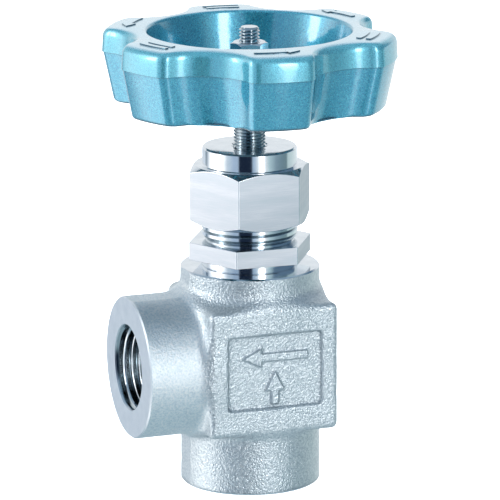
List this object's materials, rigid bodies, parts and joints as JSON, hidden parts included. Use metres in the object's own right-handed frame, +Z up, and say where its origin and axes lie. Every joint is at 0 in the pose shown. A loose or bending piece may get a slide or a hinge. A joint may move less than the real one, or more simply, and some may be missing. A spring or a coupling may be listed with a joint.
{
  "type": "needle valve",
  "caption": "Hand-operated angle needle valve: cast body with threaded inlet below and outlet at the side, screwed bonnet, hexagonal packing nut, fine-threaded stem and lobed handwheel.",
  "frame": {"origin": "centre of the inlet face, at the bottom of the valve", "axes": "+Z up the stem axis, towards the handwheel; -Z out of the inlet; -X out of the outlet"},
  "size_m": [0.07, 0.072, 0.1127],
  "materials": {
    "cast_steel": "shot-blasted stainless steel casting, fine grain",
    "hex_steel": "machined stainless steel, drawn flats and turned faces",
    "turned_steel": "turned and polished stainless steel",
    "hard_steel": "hardened and ground",
    "graphite": "pressed graphite, matt",
    "packing": "white fluoropolymer, waxy",
    "wheel_paint": "die-cast aluminium under sky blue metallic paint, satin"
  },
  "bodies": {
    "housing": {"valve_body": "cast_steel", "bonnet": "hex_steel", "bonnet_gasket": "graphite", "packing_support_washer": "turned_steel", "packing_bottom_adapter": "turned_steel", "packing_ring_1": "packing", "packing_ring_2": "packing", "packing_ring_3": "packing", "packing_ring_4": "packing", "packing_top_adapter": "turned_steel", "gland_follower": "turned_steel", "packing_nut": "hex_steel"},
    "needle_unit": {"needle": "hard_steel", "needle_pins": "turned_steel", "thrust_ball": "turned_steel"},
    "stem_unit": {"stem": "turned_steel", "handwheel": "wheel_paint", "plain_washer": "turned_steel", "spring_washer": "turned_steel", "handwheel_nut": "turned_steel"}
  },
  "joints": [
    {"name": "stem_lift", "type": "slide", "parent": "housing", "child": "needle_unit", "axis": [0, 0, 1], "range_m": [0, 0.004]},
    {"name": "handwheel_turn", "type": "hinge", "parent": "needle_unit", "child": "stem_unit", "pos_m": [0, 0, 0.093], "axis": [0, 0, 1], "range_deg": [0, 1800]}
  ],
  "couplings": [
    {"joint": "stem_lift", "follows": "handwheel_turn", "m_per_rad": 0.00012732}
  ]
}
